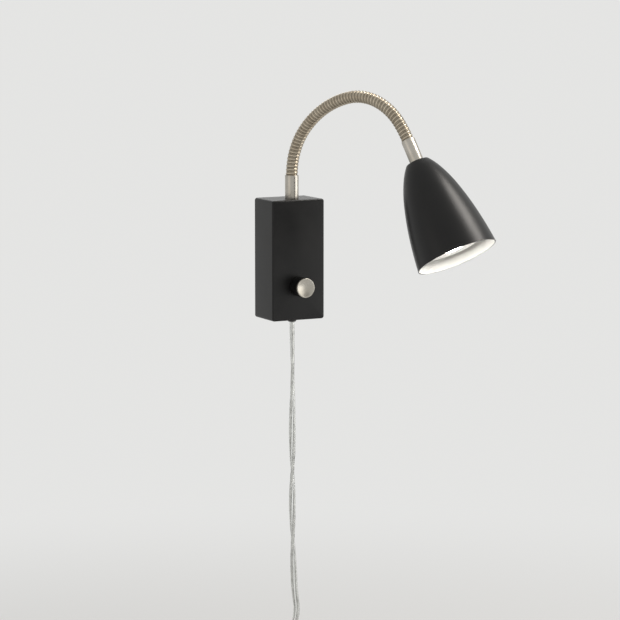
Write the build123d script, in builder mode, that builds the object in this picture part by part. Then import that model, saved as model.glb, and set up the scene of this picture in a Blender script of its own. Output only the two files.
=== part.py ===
from build123d import *
import math
import os

# Bedside wall reading lamp: a box on the wall, a bendable metal neck and a bullet-shaped shade.
# Frame: the wall is the plane Y = 0, the room lies towards -Y, +X is to the right as seen from
# the room and +Z is up. The origin is the middle of the box's back. All sizes in millimetres.

# ---------------------------------------------------------------- driving sizes
# box on the wall
cover_width = 55.0
cover_height = 115.0
cover_depth = 38.0
cover_wall = 1.5
cover_corner_radius = 2.5
cover_edge_radius = 1.4
exit_depth = 24.0            # from the wall to the neck's foot and to the cord's exit

# mounting plate
plate_thickness = 1.5
plate_side_clearance = 1.0
plate_end_clearance = 0.3
flange_width = 44.0
flange_depth = 12.0
wall_screw_spacing = 80.0
wall_screw_hole_radius = 2.25
cover_screw_spacing = 36.0
cover_screw_depth = 7.0      # from the wall to the screws under the box
cover_screw_radius = 1.5
cover_screw_head_radius = 2.8
cover_screw_head_height = 1.8
cover_screw_length = 6.5

# dimmer and knob
knob_height = -25.0
knob_radius = 9.25
knob_length = 15.0
knob_gap = 0.6
knob_cap_thickness = 2.4
knob_rim = 1.0
knob_dish = 1.2
knob_cavity_radius = 7.0
knob_cavity_depth = 5.2
shaft_radius = 2.0
shaft_grip = 7.0             # how far the shaft reaches into the knob's hub
dimmer_width = 32.0
dimmer_height = 30.0
dimmer_depth = 13.0
dimmer_bush_radius = 3.5
dimmer_bush_reach = 5.0
dimmer_nut_across = 11.0
dimmer_nut_height = 2.2

# terminal block
block_height_above_centre = 12.0
block_width = 28.0
block_height = 16.0
block_depth = 14.0
pole_spacing = 9.0
wire_way_radius = 1.6
wire_way_depth = 10.0        # from the wall to the middle of the wires in the block
terminal_screw_radius = 1.7
terminal_screw_spacing = 8.0
peg_radius = 1.5
peg_spacing = 18.0

# ferrules, their studs, washers and nuts
ferrule_radius = 6.5
ferrule_length = 22.5
ferrule_edge_radius = 0.6
ferrule_recess_depth = 4.0
stud_radius = 4.9
stud_length = 10.0
washer_radius = 6.7
washer_thickness = 0.8
nut_across = 14.0
nut_height = 4.0

# gooseneck: arcs of its centre line as (radius, degrees), from the base ferrule to the head's
neck_bends = [(69.0, 42.0), (96.0, 36.5), (61.0, 65.0), (117.0, 7.5)]
neck_heading = 67.0          # degrees from +X towards the room, seen from above
neck_radius = 6.0
neck_groove_radius = 5.2
neck_bore_radius = 3.0
neck_lengths = 14
ribs_per_length = 4
rib_crest = 1.3
rib_slope = 0.3
ball_radius = 4.3
ball_clearance = 0.2
ball_reach = 2.0
cable_radius = 2.4
core_radius = 1.1

# shade: outline as (radius, distance below its top), and how it starts out from its flat crown
shade_outline = [(10.6, 0.0), (17.8, 11.0), (26.2, 32.0), (33.4, 62.0), (38.0, 95.5)]
shade_start = (0.636, 0.772)
shade_shoulder_radius = 1.6
shade_wall = 1.0

# lampholder and lamp
bracket_thickness = 1.2
bracket_half_width = 5.8
bracket_neck = 8.0
bracket_spread = 11.6
bracket_foot = 15.6
bracket_length = 15.0
holder_radius = 11.5
holder_ear_thickness = 4.5
holder_screw_offset = 13.6
holder_screw_radius = 1.25
holder_screw_head_radius = 1.9
lamp_radius = 25.0
lamp_length = 54.0
lamp_recess = 8.0
lamp_base_radius = 13.5
lamp_rim_height = 3.5
lamp_pin_length = 7.5
lamp_pin_spacing = 10.0
lamp_pin_radius = 2.5
lens_radius = 23.2
lens_thickness = 2.0

# supply cord and plug
cord_width = 6.6
cord_thickness = 3.4
cord_hole_clearance = 0.15
bush_radius = 4.0
bush_flange_height = 3.0
bush_neck_radius = 3.6
clamp_width = 18.0
clamp_depth = 10.0
clamp_height = 7.0
coil_radius = 43.0
coil_turn_pitch = 4.15
coil_layer_pitch = 7.3
coil_half_turns_in = 6
coil_half_turns_out = 5
tie_width = 4.0
tie_thickness = 1.2
tie_clearance = 0.3
tail_length = 24.0
plug_relief_length = 18.0
plug_width = 35.0
plug_thickness = 13.7
plug_shoulder = 15.0
plug_body_length = 36.0
plug_pin_radius = 2.0
plug_pin_length = 19.0
plug_pin_spacing = 18.6

# fits
hole_clearance = 0.1
running_clearance = 0.05
seat_gap = 0.2

# The cord's free stretch, chosen by hand: out of the bush, down, in towards the wall, and over
# into the coil's outermost turn. Each height is measured down from where the cord leaves the bush.
cord_route_below_bush = [
    (0.0, -exit_depth, 0.0),
    (0.2, -exit_depth, 23.5),
    (1.4, -22.9, 61.5),
    (2.0, -20.2, 105.5),
    (4.1, -16.6, 149.5),
    (5.4, -13.4, 194.5),
    (8.0, -10.4, 237.5),
    (10.4, -8.0, 267.5),
    (14.2, -6.9, 289.5),
    (9.5, -6.8, 304.8),
    (-1.6, -6.8, 316.3),
    (-16.7, -6.8, 321.5),
    (-30.7, -6.8, 321.5),
]

os.makedirs("parts", exist_ok=True)


def finish(piece, name):
    """Label a finished piece and write it to its own file."""
    piece.part.label = name
    export_step(piece.part, f"parts/{name}.step")


def section_of(seat):
    """The plane through a seat's axis: its x is the radius and its y runs along that axis."""
    return Plane(origin=seat.origin, x_dir=seat.x_dir, z_dir=seat.x_dir.cross(seat.z_dir))


def bend_radii(points):
    """The largest arcs that the runs of a route leave room for, one for each corner."""
    corners = [Vector(*point) for point in points]
    radii = []
    for before, corner, after in zip(corners, corners[1:], corners[2:]):
        turn = math.radians((corner - before).get_angle(after - corner))
        shorter = min((corner - before).length, (after - corner).length)
        radii.append(0.45 * shorter / math.tan(turn / 2))
    return radii


def start_plane(points):
    """The plane across the start of a route."""
    return Plane(origin=points[0], z_dir=Vector(*points[1]) - Vector(*points[0]))


# ---------------------------------------------------------------- box on the wall
front = -cover_depth
top = cover_height / 2
bottom = -cover_height / 2
inner_height = cover_height - 2 * cover_wall
top_seat = Plane(origin=(0, -exit_depth, top), x_dir=(1, 0, 0), z_dir=(0, 0, 1))
bottom_seat = Plane(origin=(0, -exit_depth, bottom), x_dir=(1, 0, 0), z_dir=(0, 0, -1))
knob_seat = Plane(origin=(0, front, knob_height), x_dir=(1, 0, 0), z_dir=(0, -1, 0))
cover_screw_seats = [
    Plane(origin=(side * cover_screw_spacing / 2, -cover_screw_depth, bottom), z_dir=(0, 0, -1))
    for side in (-1, 1)
]

with BuildPart() as base_cover:
    with BuildSketch(Plane.XZ):
        RectangleRounded(cover_width, cover_height, cover_corner_radius)
    extrude(amount=cover_depth)
    fillet(base_cover.faces().sort_by(Axis.Y)[0].edges(), cover_edge_radius)
    with BuildSketch(Plane.XZ):
        RectangleRounded(
            cover_width - 2 * cover_wall,
            inner_height,
            cover_corner_radius - cover_wall,
        )
    extrude(amount=cover_depth - cover_wall, mode=Mode.SUBTRACT)
    with Locations(top_seat):
        Hole(stud_radius + hole_clearance, depth=2 * cover_wall)
    with Locations(bottom_seat):
        Hole(bush_neck_radius + hole_clearance, depth=2 * cover_wall)
    with Locations(knob_seat):
        Hole(dimmer_bush_radius + hole_clearance, depth=2 * cover_wall)
    with Locations(*cover_screw_seats):
        Hole(cover_screw_radius + hole_clearance, depth=2 * cover_wall)
finish(base_cover, "base_cover")

# Folded plate: its two flanges reach forward just inside the box's top and floor.
plate_width = cover_width - 2 * cover_wall - 2 * plate_side_clearance
plate_height = inner_height - 2 * plate_end_clearance
with BuildPart() as wall_plate:
    with BuildSketch(Plane.XZ):
        RectangleRounded(plate_width, plate_height, cover_corner_radius)
    extrude(amount=plate_thickness)
    with BuildSketch(Plane.XZ):
        with Locations(
            (0, plate_height / 2 - plate_thickness / 2),
            (0, plate_thickness / 2 - plate_height / 2),
        ):
            Rectangle(flange_width, plate_thickness)
    extrude(amount=flange_depth)
    with Locations(Plane.XZ):
        with Locations((0, wall_screw_spacing / 2), (0, -wall_screw_spacing / 2)):
            Hole(wall_screw_hole_radius, depth=2 * plate_thickness)
        with Locations(
            (-peg_spacing / 2, block_height_above_centre),
            (peg_spacing / 2, block_height_above_centre),
        ):
            Hole(peg_radius + hole_clearance, depth=2 * plate_thickness)
    with Locations(*cover_screw_seats):
        Hole(cover_screw_radius + running_clearance, depth=8 * plate_thickness)
finish(wall_plate, "wall_plate")

with BuildPart() as cover_screws:
    for seat in cover_screw_seats:
        with BuildSketch(seat):
            Circle(cover_screw_head_radius)
        extrude(amount=cover_screw_head_height)
        with BuildSketch(seat):
            Circle(cover_screw_radius)
        extrude(amount=-cover_screw_length)
    fillet(cover_screws.faces().group_by(Axis.Z)[0].edges(), cover_screw_head_height / 2)
finish(cover_screws, "cover_screws")

# ---------------------------------------------------------------- dimmer and its knob
dimmer_face = Plane(origin=(0, front + cover_wall, knob_height), x_dir=(1, 0, 0), z_dir=(0, 1, 0))

with BuildPart() as dimmer_body:
    with BuildSketch(dimmer_face):
        RectangleRounded(dimmer_width, dimmer_height, cover_corner_radius)
    extrude(amount=dimmer_depth)
    with Locations(knob_seat.offset(-cover_wall)):
        Hole(shaft_radius + hole_clearance, depth=dimmer_depth - 2 * cover_wall)
finish(dimmer_body, "dimmer_body")

with BuildPart() as dimmer_bush:
    with BuildSketch(knob_seat.offset(-cover_wall)):
        Circle(dimmer_bush_radius)
        Circle(shaft_radius + running_clearance, mode=Mode.SUBTRACT)
    extrude(amount=cover_wall + dimmer_bush_reach)
finish(dimmer_bush, "dimmer_bush")

with BuildPart() as dimmer_nut:
    with BuildSketch(knob_seat):
        RegularPolygon(dimmer_nut_across / 2, side_count=6, major_radius=False)
        Circle(dimmer_bush_radius + hole_clearance, mode=Mode.SUBTRACT)
    extrude(amount=dimmer_nut_height)
finish(dimmer_nut, "dimmer_nut")

hub_start = knob_gap + knob_cavity_depth
with BuildPart() as dimmer_shaft:
    with BuildSketch(knob_seat.offset(hub_start + shaft_grip)):
        Circle(shaft_radius)
    extrude(amount=-(hub_start + shaft_grip + dimmer_depth - 2 * cover_wall))
    chamfer(dimmer_shaft.faces().sort_by(Axis.Y)[0].edges(), shaft_radius / 5)
finish(dimmer_shaft, "dimmer_shaft")

# Barrel hollow at the back for the nut, with a blind hub bore, and a dished cap on its front.
knob_face = knob_gap + knob_length
cap_back = knob_face - knob_cap_thickness
hub_bore = shaft_radius + running_clearance / 2
knob_turning = Axis(knob_seat.origin, knob_seat.z_dir)
with BuildPart() as dimmer_knob:
    with BuildSketch(section_of(knob_seat)) as barrel_profile:
        with BuildLine():
            Polyline(
                (0, cap_back),
                (0, hub_start + shaft_grip + knob_gap / 2),
                (hub_bore, hub_start + shaft_grip + knob_gap / 2),
                (hub_bore, hub_start),
                (knob_cavity_radius, hub_start),
                (knob_cavity_radius, knob_gap),
                (knob_radius, knob_gap),
                (knob_radius, cap_back),
                close=True,
            )
        make_face()
        fillet(barrel_profile.vertices().group_by(Axis.X)[-1], knob_rim / 4)
    revolve(axis=knob_turning)
finish(dimmer_knob, "dimmer_knob")

dish_edge = knob_radius - knob_rim
dish_radius = (dish_edge**2 + knob_dish**2) / (2 * knob_dish)
dish_middle = knob_face - knob_dish + dish_radius - math.sqrt(dish_radius**2 - dish_edge**2 / 4)
with BuildPart() as knob_cap:
    with BuildSketch(section_of(knob_seat)) as cap_profile:
        with BuildLine():
            Polyline((0, cap_back), (knob_radius, cap_back), (knob_radius, knob_face), (dish_edge, knob_face))
            ThreePointArc(
                (dish_edge, knob_face),
                (dish_edge / 2, dish_middle),
                (0, knob_face - knob_dish),
            )
            Line((0, knob_face - knob_dish), (0, cap_back))
        make_face()
        fillet(cap_profile.vertices().group_by(Axis.X)[-1].sort_by(Axis.Y)[-1], knob_rim / 3)
    revolve(axis=knob_turning)
finish(knob_cap, "knob_cap")

# ---------------------------------------------------------------- terminal block
block_front = -plate_thickness - block_depth
poles = [-pole_spacing, 0.0, pole_spacing]
screw_heights = [
    block_height_above_centre - terminal_screw_spacing / 2,
    block_height_above_centre + terminal_screw_spacing / 2,
]
screw_reach = block_depth + plate_thickness - wire_way_depth - wire_way_radius

with BuildPart() as terminal_block:
    with BuildSketch(Plane.XZ.offset(plate_thickness)):
        with Locations((0, block_height_above_centre)):
            RectangleRounded(block_width, block_height, cover_wall)
    extrude(amount=block_depth)
    with BuildSketch(Plane.XZ):
        with Locations(
            (-peg_spacing / 2, block_height_above_centre),
            (peg_spacing / 2, block_height_above_centre),
        ):
            Circle(peg_radius)
    extrude(amount=plate_thickness)
    block_top = block_height_above_centre + block_height / 2
    block_bottom = block_height_above_centre - block_height / 2
    with Locations(Plane.XY.offset(block_top)):
        with Locations(*[(pole, -wire_way_depth) for pole in poles]):
            Hole(wire_way_radius, depth=block_height)
    with Locations(Plane.XZ.offset(-block_front)):
        with Locations(*[(pole, height) for pole in poles for height in screw_heights]):
            Hole(terminal_screw_radius + hole_clearance, depth=screw_reach + wire_way_radius)
finish(terminal_block, "terminal_block")

with BuildPart() as terminal_screws:
    with BuildSketch(Plane.XZ.offset(-block_front)):
        with Locations(*[(pole, height) for pole in poles for height in screw_heights]):
            Circle(terminal_screw_radius)
    extrude(amount=-screw_reach)
finish(terminal_screws, "terminal_screws")

# ---------------------------------------------------------------- ferrules, washers and nuts
def make_ferrule(name, seat):
    """Turned ferrule standing on a seat: a recess on top takes the neck, a hollow stud goes below."""
    recess_floor = ferrule_length - ferrule_recess_depth
    with BuildPart() as ferrule:
        with BuildSketch(section_of(seat)) as profile:
            with BuildLine():
                Polyline(
                    (neck_bore_radius, -stud_length),
                    (stud_radius, -stud_length),
                    (stud_radius, 0),
                    (ferrule_radius, 0),
                    (ferrule_radius, ferrule_length),
                    (neck_groove_radius + hole_clearance, ferrule_length),
                    (neck_groove_radius + hole_clearance, recess_floor),
                    (neck_bore_radius, recess_floor),
                    close=True,
                )
            make_face()
            outer_corner = profile.vertices().group_by(Axis.X)[-1].sort_by(Axis.Y)[-1]
            fillet(outer_corner, ferrule_edge_radius)
        revolve(axis=Axis(seat.origin, seat.z_dir))
    finish(ferrule, name)


def make_washer(name, seat):
    """Flat washer lying on a seat."""
    with BuildPart() as washer:
        with BuildSketch(seat):
            Circle(washer_radius)
            Circle(stud_radius + hole_clearance, mode=Mode.SUBTRACT)
        extrude(amount=washer_thickness)
    finish(washer, name)


def make_nut(name, seat):
    """Thin hexagon nut lying on a seat, its flats square to the seat's x."""
    with BuildPart() as nut:
        with BuildSketch(seat):
            RegularPolygon(nut_across / 2, side_count=6, major_radius=False, rotation=30)
            Circle(stud_radius + hole_clearance, mode=Mode.SUBTRACT)
        extrude(amount=nut_height)
    finish(nut, name)


under_top = Plane(origin=top_seat.origin - Vector(0, 0, cover_wall), x_dir=(1, 0, 0), z_dir=(0, 0, -1))
make_ferrule("base_ferrule", top_seat)
make_washer("base_ferrule_washer", under_top)
make_nut("base_ferrule_nut", under_top.offset(washer_thickness))

# ---------------------------------------------------------------- gooseneck
heading = math.radians(neck_heading)
neck_out = Vector(math.cos(heading), -math.sin(heading), 0)
neck_side = Vector(0, 0, 1).cross(neck_out)
neck_total = sum(radius * math.radians(degrees) for radius, degrees in neck_bends)
length_step = neck_total / neck_lengths
rib_pitch = length_step / ribs_per_length
rib_foot = rib_crest + 2 * rib_slope
groove = rib_pitch - rib_foot


def neck_plane(station):
    """The plane across the neck's centre line, a distance along it from the base ferrule's end."""
    along, up, angle, left = 0.0, 0.0, 0.0, max(station, 0.0)
    for radius, degrees in neck_bends:
        turn = min(left / radius, math.radians(degrees))
        along += radius * (math.cos(angle) - math.cos(angle + turn))
        up += radius * (math.sin(angle + turn) - math.sin(angle))
        angle += turn
        left -= radius * turn
    beyond = left if station > 0 else station
    tangent = neck_out * math.sin(angle) + Vector(0, 0, 1) * math.cos(angle)
    foot = top_seat.origin + Vector(0, 0, ferrule_length)
    point = foot + neck_out * along + Vector(0, 0, 1) * up + tangent * beyond
    return Plane(origin=point, x_dir=neck_side, z_dir=tangent)


def make_neck_length(number):
    """One length of the ribbed hose. A ball collar at its upper end turns in the next one's socket."""
    lower_end = neck_plane(number * length_step)
    upper_end = neck_plane((number + 1) * length_step)
    reach = upper_end.origin - lower_end.origin
    seat = Plane(origin=lower_end.origin, x_dir=neck_side, z_dir=reach)
    joint = Plane(origin=upper_end.origin, x_dir=neck_side, z_dir=reach)
    first, last = number == 0, number == neck_lengths - 1
    rib_step = reach.length / ribs_per_length
    outline = [(0, groove / 2)]
    for rib in range(ribs_per_length):
        middle = (rib + 0.5) * rib_step
        outline.append((neck_groove_radius, middle - rib_foot / 2))
        outline.append((neck_radius, middle - rib_crest / 2))
        outline.append((neck_radius, middle + rib_crest / 2))
        outline.append((neck_groove_radius, middle + rib_foot / 2))
    outline.append((0, outline[-1][1]))
    with BuildPart() as length:
        with BuildSketch(section_of(seat)):
            with BuildLine():
                Polyline(*outline, close=True)
            make_face()
        revolve(axis=Axis(seat.origin, seat.z_dir))
        if first or last:
            spigot = neck_plane(seat_gap - ferrule_recess_depth) if first else upper_end
            with BuildSketch(spigot.offset(0 if first else -rib_foot)):
                Circle(neck_groove_radius - ball_clearance)
            extrude(amount=ferrule_recess_depth - seat_gap + rib_foot)
        if not last:
            with BuildSketch(section_of(joint)):
                with BuildLine():
                    collar_foot = -groove / 2 - rib_slope
                    foot_radius = math.sqrt(ball_radius**2 - collar_foot**2)
                    tip_radius = math.sqrt(ball_radius**2 - ball_reach**2)
                    ThreePointArc((foot_radius, collar_foot), (ball_radius, 0), (tip_radius, ball_reach))
                    Polyline(
                        (tip_radius, ball_reach),
                        (0, ball_reach),
                        (0, collar_foot),
                        (foot_radius, collar_foot),
                    )
                make_face()
            revolve(axis=Axis(joint.origin, joint.z_dir))
        if not first:
            with Locations(seat):
                Sphere(ball_radius + ball_clearance, mode=Mode.SUBTRACT)
        with Locations(seat):
            Hole(neck_bore_radius, depth=2 * length_step)
    finish(length, f"neck_length_{number + 1:02d}")


for number in range(neck_lengths):
    make_neck_length(number)

# ---------------------------------------------------------------- head: seat, ferrule and shade
neck_end = neck_plane(neck_total)
head_axis = neck_end.z_dir
head_top = neck_end.origin + head_axis * ferrule_length
head_seat = Plane(origin=head_top, x_dir=neck_side, z_dir=head_axis)
head_section = section_of(head_seat)
head_turning = Axis(head_top, head_axis)
make_ferrule("head_ferrule", Plane(origin=head_top, x_dir=neck_side, z_dir=-head_axis))

shade_length = shade_outline[-1][1]
with BuildPart() as lamp_shade:
    with BuildSketch(head_section) as shade_profile:
        with BuildLine():
            heading_out = shade_start
            for above, below in zip(shade_outline, shade_outline[1:]):
                bend = TangentArc(above, below, tangent=heading_out)
                heading_out = bend % 1
            Polyline(shade_outline[-1], (0, shade_length), (0, 0), shade_outline[0])
        make_face()
        shoulder = shade_profile.vertices().sort_by_distance((*shade_outline[0], 0))[0]
        fillet(shoulder, shade_shoulder_radius)
    revolve(axis=head_turning)
    mouth = lamp_shade.faces().sort_by(head_turning)[-1]
    offset(amount=-shade_wall, openings=mouth)
    with Locations(head_seat):
        Hole(stud_radius + hole_clearance, depth=2 * shade_wall)
finish(lamp_shade, "lamp_shade")

# ---------------------------------------------------------------- lampholder bracket
bracket_top = shade_wall
bracket_inside = bracket_top + bracket_thickness
with BuildPart() as lampholder_bracket:
    with BuildSketch(head_section):
        with BuildLine():
            outline = [
                (0, bracket_top),
                (bracket_neck, bracket_top),
                (bracket_spread, bracket_top + bracket_length - bracket_thickness),
                (bracket_foot, bracket_top + bracket_length - bracket_thickness),
                (bracket_foot, bracket_top + bracket_length),
                (bracket_spread - bracket_thickness, bracket_top + bracket_length),
                (bracket_neck - bracket_thickness, bracket_inside),
                (0, bracket_inside),
            ]
            Polyline(*outline, close=True)
        make_face()
        mirror(about=Plane.YZ)
    extrude(amount=bracket_half_width, both=True)
    with Locations(head_seat.offset(bracket_top)):
        Hole(stud_radius + hole_clearance, depth=2 * bracket_thickness)
    with Locations(head_seat.offset(bracket_top + bracket_length)):
        with Locations((-holder_screw_offset, 0), (holder_screw_offset, 0)):
            Hole(holder_screw_radius + hole_clearance, depth=2 * bracket_thickness)
finish(lampholder_bracket, "lampholder_bracket")

make_washer("head_ferrule_washer", head_seat.offset(bracket_inside))
make_nut("head_ferrule_nut", head_seat.offset(bracket_inside + washer_thickness))

# ---------------------------------------------------------------- lampholder and lamp
lamp_front = shade_length - lamp_recess
lamp_back = lamp_front - lamp_length + lamp_pin_length
holder_top = bracket_top + bracket_length
holder_front = lamp_back - seat_gap
with BuildPart() as lampholder:
    with BuildSketch(head_seat.offset(holder_top)):
        Circle(holder_radius)
    extrude(amount=holder_front - holder_top)
    with BuildSketch(head_seat.offset(holder_top)):
        SlotOverall(2 * bracket_foot, 2 * bracket_half_width)
    extrude(amount=holder_ear_thickness)
    with Locations(head_seat.offset(holder_front)):
        with Locations((-lamp_pin_spacing / 2, 0), (lamp_pin_spacing / 2, 0)):
            Hole(lamp_pin_radius + seat_gap, depth=lamp_pin_length + seat_gap)
    with Locations(head_seat.offset(holder_top)):
        with Locations((-holder_screw_offset, 0), (holder_screw_offset, 0)):
            Hole(holder_screw_radius + running_clearance, depth=holder_ear_thickness)
finish(lampholder, "lampholder")

bracket_screw_seat = head_seat.offset(holder_top - bracket_thickness)
with BuildPart() as bracket_screws:
    with BuildSketch(bracket_screw_seat):
        with Locations((-holder_screw_offset, 0), (holder_screw_offset, 0)):
            Circle(holder_screw_radius)
    extrude(amount=bracket_thickness + holder_ear_thickness)
    with BuildSketch(bracket_screw_seat):
        with Locations((-holder_screw_offset, 0), (holder_screw_offset, 0)):
            Circle(holder_screw_head_radius)
    extrude(amount=-holder_screw_head_radius / 1.5)
finish(bracket_screws, "bracket_screws")

with BuildPart() as lamp_body:
    with BuildSketch(head_section):
        with BuildLine():
            Polyline(
                (0, lamp_front - lens_thickness),
                (0, lamp_back),
                (lamp_base_radius - cover_wall, lamp_back),
                (lamp_base_radius, lamp_back + cover_wall),
                (lamp_base_radius + 1, lamp_back + 11),
            )
            Spline(
                (lamp_base_radius + 1, lamp_back + 11),
                (20.5, lamp_back + 24),
                (lamp_radius, lamp_front - lamp_rim_height),
                tangents=[(0.55, 1), (0.35, 1)],
            )
            Polyline(
                (lamp_radius, lamp_front - lamp_rim_height),
                (lamp_radius, lamp_front),
                (lens_radius + hole_clearance, lamp_front),
                (lens_radius + hole_clearance, lamp_front - lens_thickness),
                (0, lamp_front - lens_thickness),
            )
        make_face()
    revolve(axis=head_turning)
finish(lamp_body, "lamp_body")

with BuildPart() as lamp_lens:
    with BuildSketch(head_seat.offset(lamp_front - lens_thickness)):
        Circle(lens_radius)
    extrude(amount=lens_thickness)
finish(lamp_lens, "lamp_lens")

# Each pin is a thin neck with a wide foot, which the holder turns behind its contacts.
pin_foot = lamp_pin_length / 3
with BuildPart() as lamp_pins:
    with BuildSketch(head_seat.offset(lamp_back)):
        with Locations((-lamp_pin_spacing / 2, 0), (lamp_pin_spacing / 2, 0)):
            Circle(lamp_pin_radius * 0.6)
    extrude(amount=-lamp_pin_length)
    with BuildSketch(head_seat.offset(lamp_back - lamp_pin_length)):
        with Locations((-lamp_pin_spacing / 2, 0), (lamp_pin_spacing / 2, 0)):
            Circle(lamp_pin_radius)
    extrude(amount=pin_foot)
finish(lamp_pins, "lamp_pins")

# ---------------------------------------------------------------- lead through the neck
cable_foot = neck_plane(-ferrule_length - stud_length)
with BuildPart() as neck_cable:
    with BuildLine():
        Line(cable_foot.origin, neck_plane(0).origin)
        station = 0.0
        for radius, degrees in neck_bends:
            stretch = radius * math.radians(degrees)
            ThreePointArc(
                neck_plane(station).origin,
                neck_plane(station + stretch / 2).origin,
                neck_plane(station + stretch).origin,
            )
            station += stretch
        Line(neck_end.origin, head_top + head_axis * stud_length)
    with BuildSketch(cable_foot):
        Circle(cable_radius)
    sweep()
finish(neck_cable, "neck_cable")

# ---------------------------------------------------------------- wires inside the box and the head
way = -wire_way_depth
cable_start = cable_foot.origin.Z
core_offset = cable_radius / 2
left_pole, middle_pole, right_pole = poles
cord_end_height = bottom + cover_wall + clamp_height + seat_gap
cord_core_offset = cord_width / 4

supply_core_routes = [
    [
        (0, -exit_depth - cord_core_offset, cord_end_height),
        (0, -exit_depth - cord_core_offset, cord_end_height + 2.5),
        (-5, -15, -36),
        (left_pole, way, -20),
        (left_pole, way, screw_heights[0]),
    ],
    [
        (0, -exit_depth + cord_core_offset, cord_end_height),
        (0, -exit_depth + cord_core_offset, cord_end_height + 2.5),
        (1.5, -14, -36),
        (middle_pole, way, -20),
        (middle_pole, way, screw_heights[0]),
    ],
]
lamp_core_routes = [
    [
        (middle_pole, way, screw_heights[1]),
        (middle_pole, way, block_top + 3),
        (-core_offset, -exit_depth, block_top + 15),
        (-core_offset, -exit_depth, cable_start),
    ],
    [
        (right_pole, way, screw_heights[1]),
        (right_pole, way, block_top + 3),
        (core_offset, -exit_depth, block_top + 15),
        (core_offset, -exit_depth, cable_start),
    ],
]
dimmer_top = knob_height + dimmer_height / 2
dimmer_back = front + cover_wall + dimmer_depth
dimmer_core_routes = [
    [
        (left_pole, -30, dimmer_top),
        (left_pole, -30, 24),
        (left_pole, -20, 32),
        (left_pole, way, 26),
        (left_pole, way, screw_heights[1]),
    ],
    [
        (right_pole, dimmer_back, -16),
        (right_pole, dimmer_back + 5.5, -16),
        (right_pole, way, -10),
        (right_pole, way, screw_heights[0]),
    ],
]


def make_cores(name, routes):
    """Two insulated wires, each along its own route."""
    with BuildPart() as cores:
        for route in routes:
            with BuildLine():
                FilletPolyline(*route, radius=bend_radii(route))
            with BuildSketch(start_plane(route)):
                Circle(core_radius)
            sweep()
    finish(cores, name)


make_cores("supply_cores", supply_core_routes)
make_cores("lamp_cores", lamp_core_routes)
make_cores("dimmer_cores", dimmer_core_routes)


def head_point(side, distance):
    """A point in the head, across and below the shade's top."""
    point = head_top + neck_side * side + head_axis * distance
    return (point.X, point.Y, point.Z)


make_cores(
    "head_cores",
    [
        [
            head_point(side * core_offset, stud_length),
            head_point(side * core_offset, stud_length + 2),
            head_point(side * 2.5 * core_offset, holder_top - 2),
            head_point(side * 2.5 * core_offset, holder_top),
        ]
        for side in (-1, 1)
    ],
)

# ---------------------------------------------------------------- cord bush, clamp and cord end
# The flat cord leaves with its wide side along Y.
cord_exit = bottom - bush_flange_height
slot_width = cord_width + 2 * cord_hole_clearance
slot_thickness = cord_thickness + 2 * cord_hole_clearance

with BuildPart() as cord_bush:
    with BuildSketch(bottom_seat):
        Circle(bush_radius)
    extrude(amount=bush_flange_height)
    fillet(cord_bush.faces().sort_by(Axis.Z)[0].edges(), bush_flange_height / 3)
    with BuildSketch(bottom_seat):
        Circle(bush_neck_radius)
    extrude(amount=-cover_wall)
    with BuildSketch(bottom_seat.offset(bush_flange_height)):
        SlotOverall(slot_width, slot_thickness, rotation=90)
    extrude(amount=-bush_flange_height - cover_wall, mode=Mode.SUBTRACT)
finish(cord_bush, "cord_bush")

clamp_floor = Plane(origin=(0, -exit_depth, bottom + cover_wall), x_dir=(1, 0, 0), z_dir=(0, 0, 1))
clamp_screw_places = [(-clamp_width / 3, 0), (clamp_width / 3, 0)]
with BuildPart() as cord_clamp:
    with BuildSketch(clamp_floor):
        RectangleRounded(clamp_width, clamp_depth, cover_wall)
        SlotOverall(slot_width, slot_thickness, rotation=90, mode=Mode.SUBTRACT)
    extrude(amount=clamp_height)
    with Locations(clamp_floor.offset(clamp_height)):
        with Locations(*clamp_screw_places):
            Hole(holder_screw_radius + running_clearance, depth=clamp_height - cover_wall)
finish(cord_clamp, "cord_clamp")

with BuildPart() as cord_clamp_screws:
    with BuildSketch(clamp_floor.offset(clamp_height)):
        with Locations(*clamp_screw_places):
            Circle(holder_screw_head_radius)
    extrude(amount=holder_screw_head_radius / 1.5)
    with BuildSketch(clamp_floor.offset(clamp_height)):
        with Locations(*clamp_screw_places):
            Circle(holder_screw_radius)
    extrude(amount=cover_wall + seat_gap - clamp_height)
finish(cord_clamp_screws, "cord_clamp_screws")

with BuildPart() as supply_cord_end:
    with BuildSketch(bottom_seat.offset(bush_flange_height)):
        SlotOverall(cord_width, cord_thickness, rotation=90)
    extrude(amount=cord_exit - cord_end_height)
finish(supply_cord_end, "supply_cord_end")

# ---------------------------------------------------------------- supply cord
cord_route = [(across, depth, cord_exit - drop) for across, depth, drop in cord_route_below_bush]
cord_radii = bend_radii(cord_route)
with BuildPart() as mains_cord:
    with BuildLine() as cord_path:
        FilletPolyline(*cord_route, radius=cord_radii)
    with BuildSketch(Plane(origin=cord_route[0], x_dir=(0, 1, 0), z_dir=(0, 0, -1))):
        SlotOverall(cord_width, cord_thickness)
    sweep()
finish(mains_cord, "mains_cord")

# The rest is wound flat against the wall in two layers. Each half turn is a half circle from the
# top of the coil to its bottom or back. The turns tighten in the layer next to the wall, one half
# turn climbs to the other layer, and there they widen again.
coil_x = cord_route[-1][0] - cord_width
coil_near = cord_route[-1][1]
coil_far = coil_near - coil_layer_pitch
coil_start = Vector(coil_x, coil_near, cord_route[-1][2])


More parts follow.
